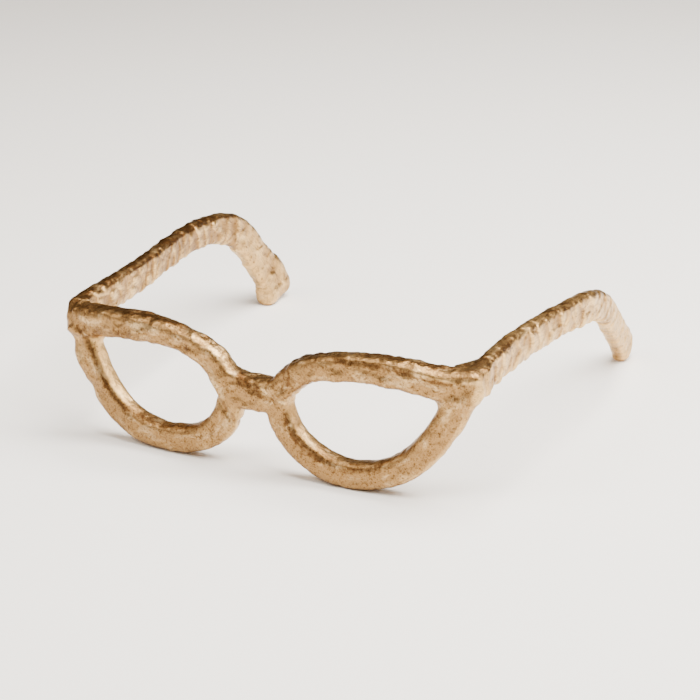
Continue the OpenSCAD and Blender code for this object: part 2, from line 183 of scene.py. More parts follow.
class FinishSettings(bpy.types.PropertyGroup):
    """Colours of the metal, the pads and the dowels"""

    gold: bpy.props.StringProperty(
        name="Gold", description="Colour of the wiped gold finish, as an sRGB hex value", default="DCB476")
    # The deep gold is also the painted shade in the hollows, on the front and on faces turned from the light
    tan: bpy.props.StringProperty(
        name="Deep gold", description="Colour of the front and of the hollows", default="9F7B4D")
    # This colour is also painted on as highlights where the relief rises
    rubbed_and_highlight: bpy.props.StringProperty(
        name="Rubbed gold", description="Colour of the ridges that were rubbed bright", default="EED09C")
    # This colour is also painted as shadow in the creases, as dark reflections in streaks, and as the
    # darkening on top
    patina_and_shade: bpy.props.StringProperty(
        name="Patina", description="Colour of the dark wax left in hollows and on top", default="46270F")
    steel: bpy.props.StringProperty(
        name="Steel", description="Colour of the dowels", default="9A9A98")
    rubber: bpy.props.StringProperty(
        name="Rubber", description="Colour of the natural rubber pads", default="D8BE96")


class StageSettings(bpy.types.PropertyGroup):
    """Floor, light and camera"""

    floor: bpy.props.StringProperty(
        name="Floor", description="Colour of the floor, as an sRGB hex value", default="FBFAF8")
    top_light: bpy.props.FloatProperty(
        name="Top light", description="Power of the soft box overhead",
        default=112, min=0, unit="POWER")
    front_light: bpy.props.FloatProperty(
        name="Front light", description="Power of the soft box in front at the left",
        default=24, min=0, unit="POWER")
    side_light: bpy.props.FloatProperty(
        name="Side light", description="Power of the soft box at the right",
        default=24, min=0, unit="POWER")
    room: bpy.props.FloatProperty(
        name="Room", description="Brightness of the room that the metal reflects", default=0.17, min=0)


def settings(kind):
    return getattr(bpy.context.scene, kind)


def linear(code):
    """An sRGB hex value as linear RGBA"""
    parts = [int(code[i:i + 2], 16) / 255 for i in (0, 2, 4)]
    return tuple(c / 12.92 if c <= 0.04045 else ((c + 0.055) / 1.055) ** 2.4 for c in parts) + (1,)


# Working with objects
def pick(*objects):
    """Selects only these, the last one active"""
    if bpy.context.mode != "OBJECT":
        bpy.ops.object.mode_set(mode="OBJECT")
    bpy.ops.object.select_all(action="DESELECT")
    for o in objects:
        o.select_set(True)
    bpy.context.view_layer.objects.active = objects[-1]


def modify(obj, kind, **values):
    """Adds a modifier and applies it"""
    mod = obj.modifiers.new(kind.title(), kind)
    for key, value in values.items():
        setattr(mod, key, value)
    pick(obj)
    bpy.ops.object.modifier_apply(modifier=mod.name)


def combine(obj, other, how):
    """Boolean of two closed meshes, which uses up the other one"""
    modify(obj, "BOOLEAN", object=other, operation=how, solver="MANIFOLD")
    bpy.data.objects.remove(other)


def double(obj, name):
    """A copy with its own mesh, on no body"""
    new = obj.copy()
    new.data = obj.data.copy()
    new.name = new.data.name = name
    new.parent = None
    new.matrix_world = obj.matrix_world
    new.hide_render = False
    new.hide_set(False)
    bpy.context.scene.collection.objects.link(new)
    return new


def merged_copy(node, name):
    """A copy of a CAD node whose loose triangles are joined up"""
    new = double(frame["nodes"][node], name)
    pick(new)
    bpy.ops.object.mode_set(mode="EDIT")
    bpy.ops.mesh.select_all(action="SELECT")
    bpy.ops.mesh.remove_doubles(threshold=1e-6)
    bpy.ops.object.mode_set(mode="OBJECT")
    return new


def points_of(obj):
    co = np.empty(len(obj.data.vertices) * 3, np.float32)
    obj.data.vertices.foreach_get("co", co)
    return co.reshape(-1, 3).astype(float)


def set_points(obj, co):
    obj.data.vertices.foreach_set("co", co.astype(np.float32).ravel())
    obj.data.update()


def block(name, centre, axes, low, high):
    """A box between two corners that are given along three axes from a centre"""
    mid, half = (np.array(low) + high) / 2, (np.array(high) - low) / 2
    turn = Matrix([list(a) for a in axes]).transposed()
    place = Vector(centre) + turn @ Vector(mid)
    bpy.ops.object.select_all(action="DESELECT")
    bpy.ops.mesh.primitive_cube_add(size=2, location=place, rotation=turn.to_euler(), scale=half)
    bpy.ops.object.transform_apply(location=True, rotation=True, scale=True)
    new = bpy.context.object
    new.name = name
    return new


def hand_over(piece, node, key):
    """Says what a finished piece is and what it stands for"""
    piece.name = piece.data.name = node + "_piece"
    piece.data.materials.clear()
    piece.data.materials.append(material(key))
    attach(piece, BODY)
    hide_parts(node)


# The bars' centre lines
def front_y(x):
    """How far the bow of the front lies back at x, in millimetres"""
    return CORNER_BACK * x * (x - 2 * BOW_PEAK) / (HALF_FRONT * (HALF_FRONT - 2 * BOW_PEAK))


def curve(points, step=0.03):
    """Places along a smooth curve through points"""
    pts = np.array(points, float)
    pts = np.vstack([2 * pts[0] - pts[1], pts, 2 * pts[-1] - pts[-2]])
    out = []
    for i in range(1, len(pts) - 2):
        a, b, c, d = pts[i - 1:i + 3]
        for f in np.arange(0, 1, step):
            bend = 2 * a - 5 * b + 4 * c - d
            out.append(b + 0.5 * f * ((c - a) + f * (bend + f * (3 * (b - c) + d - a))))
    return np.array(out + [pts[-2]])


def centre_lines():
    """Every bar's centre line: kind, side, places in metres, directions of angle 90 and of angle 0"""
    ring_w = HALF_FRONT - NOSE_GAP / 2
    seat_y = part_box("temple_left")[0].y / MM
    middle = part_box("bridge")[1].y / MM - BRIDGE_HALF_DEPTH
    lines = []
    for side in SIDES:
        sign = -1 if side == "left" else 1
        for kind, outline in (("brow", BROW[side]), ("rim", RIM[side])):
            uv = curve(outline)
            x = NOSE_GAP / 2 + uv[:, 0] * ring_w
            place = np.column_stack([sign * x, front_y(x) + middle, RIM_LOW + uv[:, 1] * RING_H])
            out = np.cross(np.gradient(place, axis=0), (0, 1, 0))
            out /= np.linalg.norm(out, axis=1)[:, None]
            away = place - (sign * RING_MIDDLE[0], 0, RING_MIDDLE[1])
            out *= np.sign((out * away)[:, (0, 2)].sum(axis=1))[:, None]
            lines.append((kind, side, place, out, np.array([0, -1.0, 0])))
        p = curve(TEMPLE[side])
        place = np.column_stack([
            sign * (HALF_FRONT + p[:, 2] * SPLAY), seat_y + p[:, 0] * TEMPLE_L, p[:, 1] * TEMPLE_Z])
        out = np.cross((1.0, 0, 0), np.gradient(place, axis=0))
        out /= np.linalg.norm(out, axis=1)[:, None]
        lines.append(("temple", side, place, out, np.array([sign, 0, 0])))
    x = np.arange(-BRIDGE_HALF_LENGTH, BRIDGE_HALF_LENGTH + 1.0)
    place = np.column_stack([x, front_y(abs(x)) + middle, 0 * x + BRIDGE_Z])
    lines.append(("bridge", "", place, np.tile((0, 0, 1.0), (len(x), 1)), np.array([0, -1.0, 0])))
    return [(kind, side, place * MM, out, face) for kind, side, place, out, face in lines]


# The joints between castings, read from the dowels and welds
def joint_list():
    joints = []
    for side in SIDES:
        for kind in ("brow", "rim", "corner", "temple"):
            dowel = points_of(merged_scratch(f"{kind}_dowel_{side}"))
            weld = points_of(merged_scratch(f"{kind}_weld_{side}"))
            centre = (dowel.min(axis=0) + dowel.max(axis=0)) / 2
            along = np.linalg.svd(dowel - dowel.mean(axis=0), full_matrices=False)[2][0]
            normal = along
            if kind == "rim":
                normal = np.linalg.svd(weld - weld.mean(axis=0), full_matrices=False)[2][2]
            if kind == "corner":
                normal = underside(side, centre)
            if kind == "temple":
                normal, along = np.array([0, 1.0, 0]), np.array([0, 1.0, 0])
                box = (weld.min(axis=0) + weld.max(axis=0)) / 2
                middle = np.array([box[0], centre[1], box[2]])
            else:
                middle = centre
            away = {"brow": "brow", "rim": "lower_rim", "corner": "lower_rim", "temple": "temple"}[kind]
            low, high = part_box(f"{away}_{side}")
            if np.dot(normal, np.array((low + high) / 2) - centre) < 0:
                normal = -normal
            through = np.array([1.0, 0, 0]) if kind == "temple" else np.array([0, 1.0, 0])
            through = through - normal * np.dot(through, normal)
            through /= np.linalg.norm(through)
            across = np.cross(through, normal)
            reach = weld - middle
            half = [np.abs(reach @ across).max(), np.abs(reach @ through).max()]
            joints.append({
                "name": f"{kind}_{side}", "kind": kind, "side": side, "middle": middle, "dowel": centre,
                "axes": (across, through, normal), "along": along, "half": half,
                "radius": np.linalg.norm(np.cross(dowel - centre, along), axis=1).max(),
                "length": np.ptp(dowel @ along),
            })
    return joints


def underside(side, centre):
    """The direction square to the underside of a brow bar, below its outer end"""
    brow = points_of(merged_scratch("brow_" + side))
    foot = []
    for step in (-9 * MM, 4 * MM):
        near = brow[np.abs(brow[:, 0] - centre[0] - step * np.sign(centre[0])) < 4 * MM]
        foot.append(near[near[:, 2].argmin()])
    slope = (foot[1][2] - foot[0][2]) / (foot[1][0] - foot[0][0])
    return np.array([slope, 0, -1]) / math.hypot(slope, 1)


def merged_scratch(node):
    """The merged copy of a CAD node that is only measured"""
    name = "scratch_" + node
    return bpy.data.objects.get(name) or merged_copy(node, name)


# The forms of weld: from where to where along the joint, how deep, and how far the ring reaches out past the
# surface, across and through the bar
GROOVE = {"span": (-2 * MM, 2 * MM), "depth": 1.6 * MM, "room": (2.5 * MM, 2.5 * MM)}
FILLET = {"span": (0.0, 2.4 * MM), "depth": 3.6 * MM, "room": (5.5 * MM, 1.2 * MM)}
SEAT = {"span": (0.0, 2.4 * MM), "depth": 3.6 * MM, "room": (5.5 * MM, 14 * MM)}
FORMS = {"brow": GROOVE, "rim": GROOVE, "corner": FILLET, "temple": SEAT}
# Half the hairline between two castings, and the play of a dowel in its hole
PARTING = 0.01 * MM
HOLE_ROOM = 0.05 * MM


def weld_zone(joint, trimmed):
    """The ring of metal that a weld takes up, reaching out past the surface. Trimmed, a weld under a brow
    bar leaves the temple's weld its room."""
    form = FORMS[joint["kind"]]
    hu, hv = joint["half"]
    d0, d1 = form["span"]
    ou, ov = hu + form["room"][0], hv + form["room"][1]
    cu, cv = hu - form["depth"], hv - form["depth"]
    zone = block("zone", joint["middle"], joint["axes"], (-ou, -ov, d0), (ou, ov, d1))
    core = block("core", joint["middle"], joint["axes"], (-cu, -cv, d0 - MM), (cu, cv, d1 + MM))
    modify(core, "BEVEL", width=3 * MM, segments=4, limit_method="NONE")
    combine(zone, core, "DIFFERENCE")
    if trimmed and joint["kind"] == "corner":
        low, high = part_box("temple_weld_" + joint["side"])
        room = SEAT["room"][1]
        back = block("back", low, np.eye(3), (-room, 0, -room), (high.x - low.x + room, 0.05, 0.05))
        combine(zone, back, "DIFFERENCE")
    return zone


def joint_cutter(joint):
    """What is taken out of the raw skin at a joint: weld, dowel hole and a hairline parting"""
    cutter = weld_zone(joint, False)
    form = FORMS[joint["kind"]]
    wide = [h - form["depth"] + 0.5 * MM for h in joint["half"]]
    parting = block("parting", joint["middle"], joint["axes"],
                    (-wide[0], -wide[1], -PARTING), (wide[0], wide[1], PARTING))
    combine(cutter, parting, "UNION")
    turn = Vector(joint["along"]).to_track_quat("Z", "Y").to_euler()
    bpy.ops.object.select_all(action="DESELECT")
    bpy.ops.mesh.primitive_cylinder_add(
        vertices=48, radius=joint["radius"] + HOLE_ROOM, depth=joint["length"] + 2 * HOLE_ROOM,
        location=joint["dowel"], rotation=turn)
    bpy.ops.object.transform_apply(location=True, rotation=True, scale=True)
    combine(cutter, bpy.context.object, "UNION")
    return cutter


# The worked surface
# How far apart its lumps and dents lie, in millimetres
BROAD_LUMPS, FINE_LUMPS, ROUND_DENTS = 15, 5.5, 12.5
SWAYS, SMALL_LUMPS = 24, 7
SCALLOP_PITCH = 10 * MM
# The round bars on which the scallops and the drawn-out mottling are laid out
SCALLOP_BAR, FLOW_BAR = 6.5 * MM, 8 * MM
CREASE_WIDTH, CREASE_REACH = 2 * MM, 20 * MM
# Everything past this x belongs to the right outer corner
RIGHT_CORNER = 100 * MM


def smooth_step(value, low, high):
    t = np.clip((value - low) / (high - low), 0, 1)
    return t * t * (3 - 2 * t)


def lot(number, seed):
    """A fixed share between -1 and 1 for every whole number"""
    return 2 * np.modf(np.abs(np.sin(number * 12.9898 + seed) * 43758.5453))[0] - 1


def lumps(places, size, octaves=1, shift=0.0):
    """Soft noise between about -1 and 1, whose lumps are this many millimetres apart"""
    return np.array([noise.fractal(Vector(p), 1.0, 2.0, octaves) for p in places / (size * MM) + shift])


def hammer_marks(places, size, shift):
    """0 in the middle of a round dent and 1 on the ridges between dents"""
    near = [noise.voronoi(Vector(p))[0][0] for p in places / (size * MM) + shift]
    return np.minimum(1, (np.array(near) / 0.62) ** 2)


def scallops(places, size, seed):
    """Overlapping dents as tall as a bar: how high each lies, how it falls along the bar, how hollow it is
    and how near its edge lies. The places are given along the bar and round it."""
    found = [noise.voronoi(Vector(p)) for p in places / size + seed]
    near = np.array([far[:2] for far, _ in found])
    middles = np.array([points[0][:] for _, points in found])
    height = lot(middles @ np.array([57.0, 113.0, 29.0]), seed)
    fall = np.clip((middles[:, 0] - (places[:, 0] / size + seed)) * 1.6, -1, 1)
    edge = np.exp(-((near[:, 1] - near[:, 0]) * size / (1.3 * MM)) ** 2)
    return height, fall, 1 - np.minimum(1, near[:, 0]) ** 2, edge


def bar_places(co):
    """For every point of the skin: its bar, how far along it in metres and as a share, and its angle"""
    lines = centre_lines()
    tree = kdtree.KDTree(sum(len(line[2]) for line in lines))
    bars, runs, lengths, centres, heads, outs, faces = [], [], [], [], [], [], []
    for number, (_, _, place, out, face) in enumerate(lines):
        run = np.concatenate([[0], np.cumsum(np.linalg.norm(np.diff(place, axis=0), axis=1))])
        for p in place:
            tree.insert(p, len(centres))
            centres.append(p)
        bars += [number] * len(place)
        runs += list(run)
        lengths += [run[-1]] * len(place)
        head = np.gradient(place, axis=0)
        heads += list(head / np.linalg.norm(head, axis=1)[:, None])
        outs += list(out)
        faces += [face] * len(place)
    tree.balance()
    near = np.array([tree.find(p)[1] for p in co])
    reach = co - np.array(centres)[near]
    up = (reach * np.array(outs)[near]).sum(axis=1)
    front = (reach * np.array(faces)[near]).sum(axis=1)
    angle = np.degrees(np.arctan2(up, front))
    run = np.array(runs)[near] + (reach * np.array(heads)[near]).sum(axis=1)
    share = np.clip(run / np.array(lengths)[near], 0, 1)
    return lines, np.array(bars)[near], run, share, angle


def mark_weight(mark, kinds, sides, share, angle):
    """How strongly one of the marks is felt at every point, from 0 to 1"""
    kind, side, first, last, start, end, width = mark
    along = smooth_step(share, first - 0.03, first + 0.02)
    along = along * (1 - smooth_step(share, last - 0.02, last + 0.03))
    centre = start + (end - start) * np.clip((share - first) / (last - first), 0, 1)
    off = (angle - centre + 180) % 360 - 180
    return np.where((kinds == kind) & (sides == side), along * np.exp(-(off / width) ** 2), 0)


def filed_off(places):
    """How far the file took the front of the right brow bar's end back, down to the side of the temple"""
    edge_x, edge_y, steep = CORNER_FACET
    filed_y = np.where(places[:, 0] > RIGHT_CORNER, edge_y + steep * (places[:, 0] - edge_x), -1)
    cut = np.maximum(0, filed_y - places[:, 1])
    return cut * smooth_step(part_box("brow_right")[1].y - places[:, 1], 0, 6 * MM)


def worked(skin, cast, joints):
    """Moves the skin's points in and out as hammer, file and chisel left them, and notes the wax, the
    painted shade and the painted highlights
    """
    co = points_of(skin)
    normals = np.empty(len(co) * 3, np.float32)
    skin.data.vertices.foreach_get("normal", normals)
    normals = normals.reshape(-1, 3).astype(float)
    lines, bar, run, share, angle = bar_places(co)
    kinds = np.array([line[0] for line in lines])[bar]
    sides = np.array([line[1] for line in lines])[bar]
    temple, left, right = kinds == "temple", sides == "left", sides == "right"

    # Dents all over the front, shallower on the rims
    broad = lumps(co, BROAD_LUMPS, 2)
    fine = lumps(co, FINE_LUMPS, 3, 3.0)
    warp = 0.3 * np.column_stack([broad, fine, broad - fine])
    round_dents = hammer_marks(co, ROUND_DENTS, warp)
    dent = np.where((kinds == "rim") | temple, cast.rim_dent, cast.brow_dent)
    lift = dent * (0.95 * broad + 0.55 * fine + 0.55 * (round_dents - 0.6))

    # Scallops along the temples, calmer on top and in the bend down to the tip
    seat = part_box("temple_left")[0].y
    on_temple = np.where(temple, smooth_step(co[:, 1], seat + 1 * MM, seat + 14 * MM), 0)
    sway = lumps(co, SWAYS, 1, 7.0)
    small = lumps(co, SMALL_LUMPS, 2, 1.0)
    turn = np.radians(angle)
    # The left temple starts elsewhere in the pattern, so that it doesn't repeat the right one
    along = run + np.where(left, 0.3, 0.0) + (2.5 * sway + 1.3 * small - 3 * np.cos(turn) ** 2) * MM
    unrolled = np.column_stack([along, SCALLOP_BAR * np.cos(turn), SCALLOP_BAR * np.sin(turn)])
    height, fall, hollow, edge = scallops(unrolled, SCALLOP_PITCH, 1.3)
    calm = 1 - 0.6 * smooth_step(share, 0.68, 0.8)
    calm *= 1 - 0.75 * smooth_step(angle, 40, 70) * (1 - smooth_step(angle, 110, 140))
    swell = (1 - edge) * (0.8 * height + 0.7 * fall)
    pressed = cast.temple_dent * (calm * (swell - 0.5 * hollow - 0.3 * edge + 0.3) + 0.5 * small)
    lift += on_temple * (pressed - 0.8 * lift)

    # Painted shade and highlight that follow the relief, over a random tone: lighter on the ridges and
    # towards the front of each scallop, darker in the hollows, at the scallops' edges and towards their
    # backs.
    relief_shade_and_tone = (0.6 - 0.3 * on_temple) * np.clip(lift / MM, -1, 1) + 0.4 * broad
    relief_shade_and_tone += on_temple * calm * ((1 - 0.3 * edge) * (0.6 * height + 1.1 * fall) - 0.35 * edge + 0.1)
    relief_shade_and_tone *= np.where(temple, 0.95, 0.6)
    # Painted shade and light by how the light falls: the front is painted the deepest gold, the left temple
    # less and the right temple least, and faces turned to the right, towards the side light, paler still.
    deep = np.where(temple, np.where(left, 0.68, 0.16), 1.1)
    side_face = smooth_step(normals[:, 0], 0.3, 0.75)
    deep *= np.where(temple, 1 - 0.5 * smooth_step(share, 0.6, 0.8), 1 - 0.75 * side_face)

    # Darker on top of the temples and brow bars, with a ragged border, and none on the rims; the marks add
    # wax, painted shade and dark reflections, and painted highlights
    ragged = np.where(temple, 22, 11) * small + 12 * fine + 12 * on_temple * height
    border = np.select([temple, kinds == "rim", right], [46, 200, 75], 63)
    wax_and_shade = smooth_step(angle + ragged, border - 14, border + 14) * smooth_step(normals[:, 2], 0.1, 0.5)
    fading = np.where(right, 0.4 * smooth_step(share, 0.06, 0.2), 0.1)
    wax_and_shade *= np.where(temple, 1 - fading - 0.5 * smooth_step(share, 0.6, 0.78), 0.9)
    for *place, dark, high in MARKS:
        weight = mark_weight(place, kinds, sides, share, angle)
        lift += high * MM * weight
        wax_and_shade = np.where(dark > 0, np.maximum(wax_and_shade, dark * weight), wax_and_shade + dark * weight)
        deep += min(0, dark) * weight

    # Creases where the welds were dressed, each darkened by a painted shadow
    for joint in joints:
        crease = CREASES.get(joint["name"], 0) * cast.crease * MM
        reach = co - joint["middle"]
        off = (reach @ joint["axes"][2]) / CREASE_WIDTH
        weight = np.where(np.linalg.norm(reach, axis=1) < CREASE_REACH, np.exp(-off * off), 0)
        lift -= crease * weight
        wax_and_shade = np.maximum(wax_and_shade, 0.45 * crease / MM * weight)

    moved = co + normals * lift[:, None]
    cut = filed_off(moved)
    moved[:, 1] += cut
    bare = smooth_step(cut, 0, 1.5 * MM)
    deep, wax_and_shade = deep * (1 - bare), wax_and_shade * (1 - 0.7 * bare)
    moved[:, 2] = np.maximum(moved[:, 2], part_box("rim_pad_left")[1].z)
    set_points(skin, moved)
    # Rubbing drew the mottling out along the bars
    flow = np.column_stack([run * 0.38 + bar * 0.05, FLOW_BAR * np.cos(turn), FLOW_BAR * np.sin(turn)])
    grain = np.where(temple[:, None], flow, co)
    wax_and_shade, relief_shade_and_tone = np.clip(wax_and_shade, 0, 1.3), np.clip(relief_shade_and_tone, -1, 1)
    return {"wax_and_shade": wax_and_shade, "relief_shade_and_tone": relief_shade_and_tone, "deep": deep, "flow": flow, "grain": grain}


# How far the fillers stay inside the bar's outline, across and through it, and how far they reach into the
# bar that they sit under and the one that they carry on
FILLER_MARGINS = {"corner": (1.2 * MM, 0.2 * MM), "temple": (0.4 * MM, 0.4 * MM)}
FILLER_REACH = (-9 * MM, 6 * MM)
FILLER_ROUNDING = 3.5 * MM
# The half axes of the lump in the inner corner of a ring
LUMP = (5.2 * MM, 6.2 * MM, 5.2 * MM)


def corner_lump(joint, half_width):
    """The metal in the acute corner between a brow bar and a rim, inside the ring"""
    across = Vector(joint["axes"][0])
    inward = -across if across.x * joint["middle"][0] > 0 else across
    apex = Vector(joint["middle"]) + inward * (half_width + 0.3 * MM) + Vector(joint["axes"][2]) * 1.5 * MM
    bpy.ops.object.select_all(action="DESELECT")
    bpy.ops.mesh.primitive_uv_sphere_add(segments=24, ring_count=12, radius=1, location=apex, scale=LUMP)
    bpy.ops.object.transform_apply(location=True, rotation=True, scale=True)
    return bpy.context.object


def webs(joint, half_height, half_width):
    """The webs from the back of the brow bar to the temple"""
    made = []
    for way, wide, long in WEBS[joint["side"]]:
        sign = way * math.copysign(1, joint["middle"][0])
        along = np.array([-sign * wide, long, 0]) / math.hypot(wide, long)
        centre = joint["middle"] + np.array([sign * (half_width + wide * MM / 2), long * MM / 2, 0])
        half = math.hypot(wide, long) * MM / 2
        axes = (along, (along[1] * sign, -along[0] * sign, 0), (0, 0, -sign))
        low, high = (-half, -8 * MM, MM - half_height), (half, 0, half_height - MM)
        made.append(block("web", centre, axes, low, high))
    return made


def fillers(joints):
    """Metal that rounds out the corners where a rim and a temple run into a brow bar"""
    made = []
    for joint in joints:
        if joint["kind"] not in FILLER_MARGINS:
            continue
        hu, hv = (h - FILLET["span"][1] for h in joint["half"])
        made += [corner_lump(joint, hu)] if joint["kind"] == "corner" else webs(joint, hu, hv)
        mu, mv = FILLER_MARGINS[joint["kind"]]
        under, over = FILLER_REACH
        low, high = (mu - hu, mv - hv, under), (hu - mu, hv - mv, over)
        body = block("filler", joint["middle"], joint["axes"], low, high)
        modify(body, "BEVEL", width=FILLER_ROUNDING, segments=4, limit_method="NONE")
        made.append(body)
    return made


def raw_skin():
    """All castings and welds as one closed skin, before it is parted again"""
    cast = settings("sculpture_casting")
    joints = joint_list()
    parts = fillers(joints)
    for node in frame["nodes"]:
        if "pad" not in node and "temple_weld" not in node:
            parts.append(merged_copy(node, "melt_" + node))
    pick(*parts)
    bpy.ops.object.join()
    skin = bpy.context.object
    skin.name = "raw_skin"
    modify(skin, "REMESH", mode="VOXEL", voxel_size=cast.grain, adaptivity=0)
    modify(skin, "SMOOTH", factor=0.5, iterations=cast.softness)
    corner = skin.vertex_groups.new(name="corner")
    co = points_of(skin)
    near = np.zeros(len(co))
    for joint in joints:
        if joint["kind"] in ("corner", "temple"):
            far = np.linalg.norm(co - joint["middle"], axis=1)
            near = np.maximum(near, 1 - smooth_step(far, 14 * MM, 22 * MM))
    for i in np.flatnonzero(near > 0):
        corner.add([int(i)], near[i], "REPLACE")
    modify(skin, "SMOOTH", factor=0.5, iterations=cast.corner_softness, vertex_group="corner")
    skin.vertex_groups.clear()
    notes = worked(skin, cast, joints)
    modify(skin, "SMOOTH", factor=0.35, iterations=2)
    return skin, notes, joints


# Shared between the operators while the script runs
WORK = {}


def skin_parts():
    """The skin parted into castings and welds, made once"""
    if WORK:
        return WORK
    skin, notes, joints = raw_skin()
    tree = kdtree.KDTree(len(skin.data.vertices))
    for v in skin.data.vertices:
        tree.insert(v.co, v.index)
    tree.balance()
    welds = {}
    for joint in joints:
        zone = weld_zone(joint, True)
        combine(zone, double(skin, "inside"), "INTERSECT")
        zone.name = zone.data.name = joint["name"]
        welds[joint["name"]] = zone
    for joint in joints:
        combine(skin, joint_cutter(joint), "DIFFERENCE")
    pick(skin)
    bpy.ops.object.mode_set(mode="EDIT")
    bpy.ops.mesh.select_all(action="SELECT")
    bpy.ops.mesh.separate(type="LOOSE")
    bpy.ops.object.mode_set(mode="OBJECT")
    loose = sorted(bpy.context.selected_objects, key=lambda o: -len(o.data.vertices))
    castings = {}
    for o in loose[:len(CASTINGS)]:
        co = points_of(o)
        middle = (co.min(axis=0) + co.max(axis=0)) / 2
        node = min(CASTINGS, key=lambda n: (Vector(middle) - (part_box(n)[0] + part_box(n)[1]) / 2).length)
        castings[node] = o
    for o in loose[len(CASTINGS):]:
        bpy.data.objects.remove(o)
    if len(castings) != len(CASTINGS):
        raise RuntimeError("the skin didn't part into the castings: " + ", ".join(castings))
    WORK.update(tree=tree, notes=notes, welds=welds, castings=castings)
    return WORK


def finish_part(piece, node, key):
    """Gives a part of the skin its shading and notes, and hands it over"""
    tree, notes = WORK["tree"], WORK["notes"]
    near = [tree.find(v.co)[1] for v in piece.data.vertices]
    for name, values in notes.items():
        if values.ndim == 1:
            layer = piece.data.attributes.new(name, "FLOAT", "POINT")
            layer.data.foreach_set("value", values[near].astype(np.float32))
        else:
            layer = piece.data.attributes.new(name, "FLOAT_VECTOR", "POINT")
            layer.data.foreach_set("vector", values[near].astype(np.float32).ravel())
    pick(piece)
    bpy.ops.object.shade_smooth_by_angle(angle=math.radians(50))
    hand_over(piece, node, key)


def finish_castings(nodes, key):
    for node in nodes:
        finish_part(skin_parts()["castings"][node], node, key)


# Materials
def add(tree, kind, inputs=None, **fields):
    """Adds a shader node with its settings and returns its outputs. Its inputs take numbers, colours or what
    another node puts out."""
    new = tree.nodes.new("ShaderNode" + kind)
    for key, value in fields.items():
        setattr(new, key, value)
    for key, value in (inputs or {}).items():
        if isinstance(value, bpy.types.NodeSocket):
            tree.links.new(value, new.inputs[key])
        else:
            new.inputs[key].default_value = value
    return new.outputs


def new_material(name):
    mat = bpy.data.materials.new(name)
    mat.use_nodes = True
    mat.node_tree.nodes.clear()
    return mat, mat.node_tree


def per_mm(size):
    """Scale of a texture node whose pattern is this many millimetres wide"""
    return 1 / (size * MM)


